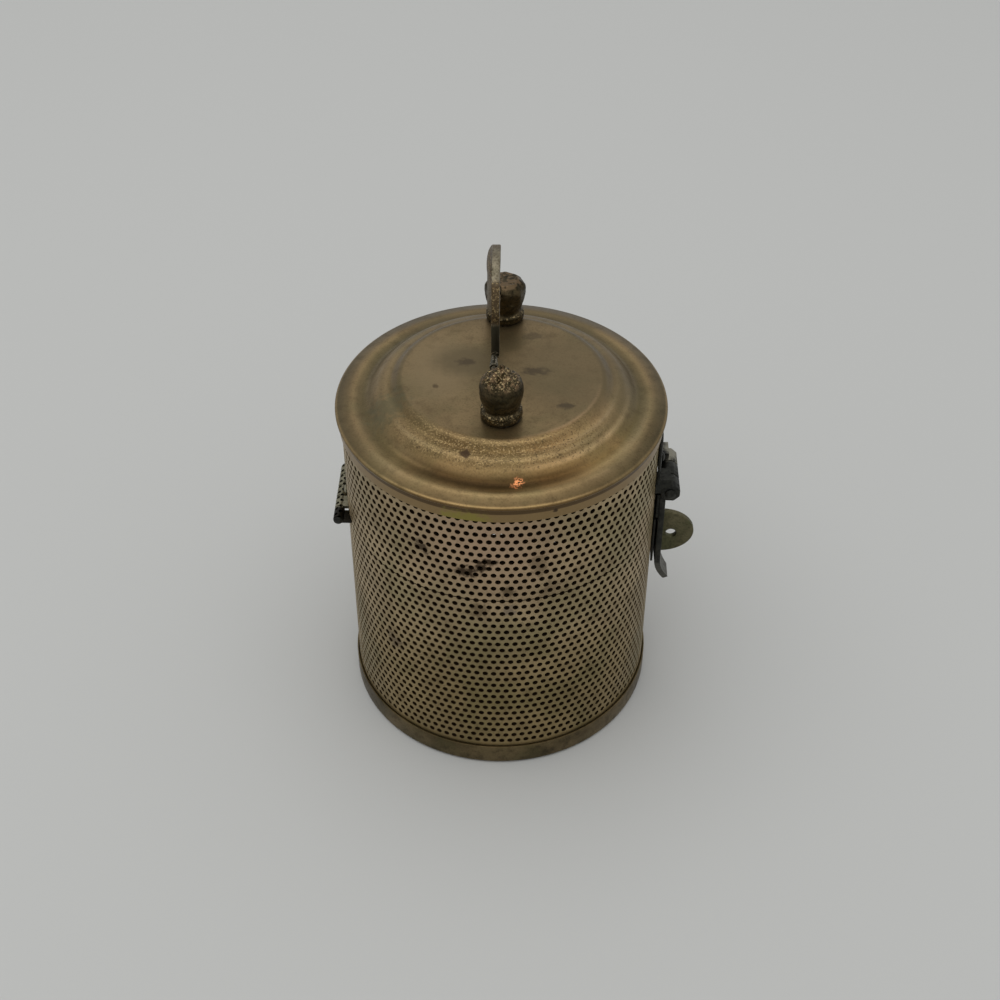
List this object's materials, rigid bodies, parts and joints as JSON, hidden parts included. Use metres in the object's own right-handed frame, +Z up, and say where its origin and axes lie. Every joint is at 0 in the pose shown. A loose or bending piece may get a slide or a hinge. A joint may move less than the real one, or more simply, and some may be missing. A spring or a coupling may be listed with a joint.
{
  "type": "round hinged keepsake box of perforated brass",
  "caption": "Round brass trinket box with perforated walls, a stepped hinged lid, a bail handle swinging between turned knobs, and a hasp and staple with an eye for a padlock.",
  "frame": {"origin": "centre of the underside of the base pan", "axes": "+Z up along the box's own axis; +X towards the hasp and -X towards the hinge; -Y towards the side the picture shows"},
  "size_m": [0.0911, 0.08, 0.1274],
  "materials": {
    "aged_brass": "aged and dulled",
    "worn_brass": "worn, speckled on the raised rings",
    "dark_brass": "darkened, nearly black in the hollows",
    "olive_brass": "olive patina"
  },
  "bodies": {
    "body": {"base_pan": "aged_brass", "body_wall": "aged_brass", "hinge_leaf_body": "aged_brass", "hinge_pin": "dark_brass", "hinge_rivet_body_1": "aged_brass", "hinge_rivet_body_2": "aged_brass", "staple_eye": "olive_brass", "staple_plate": "dark_brass", "staple_rivet_1": "dark_brass", "staple_rivet_2": "dark_brass"},
    "lid": {"front_knob": "worn_brass", "front_knob_nut": "aged_brass", "front_knob_washer": "aged_brass", "hasp_leaf": "dark_brass", "hasp_pin": "dark_brass", "hasp_rivet_1": "dark_brass", "hasp_rivet_2": "dark_brass", "hinge_leaf_lid": "aged_brass", "hinge_rivet_lid_1": "aged_brass", "hinge_rivet_lid_2": "aged_brass", "lid_cap": "worn_brass", "lid_wall": "aged_brass", "rear_knob": "worn_brass", "rear_knob_nut": "aged_brass", "rear_knob_washer": "aged_brass"},
    "handle": {"bail_handle": "dark_brass"},
    "hasp": {"hasp_strap": "dark_brass"}
  },
  "joints": [
    {"name": "lid_hinge", "type": "hinge", "parent": "body", "child": "lid", "pos_m": [-0.04015, -0.0015, 0.0587], "axis": [0, -1, 0], "range_deg": [0, 165]},
    {"name": "handle_pivot", "type": "hinge", "parent": "lid", "child": "handle", "pos_m": [-0.0017, 0.0046, 0.1053], "axis": [0, 1, 0], "range_deg": [-105, 105]},
    {"name": "hasp_pivot", "type": "hinge", "parent": "lid", "child": "hasp", "pos_m": [0.0419, 0, 0.0655], "axis": [0, -1, 0], "range_deg": [0, 165]}
  ]
}
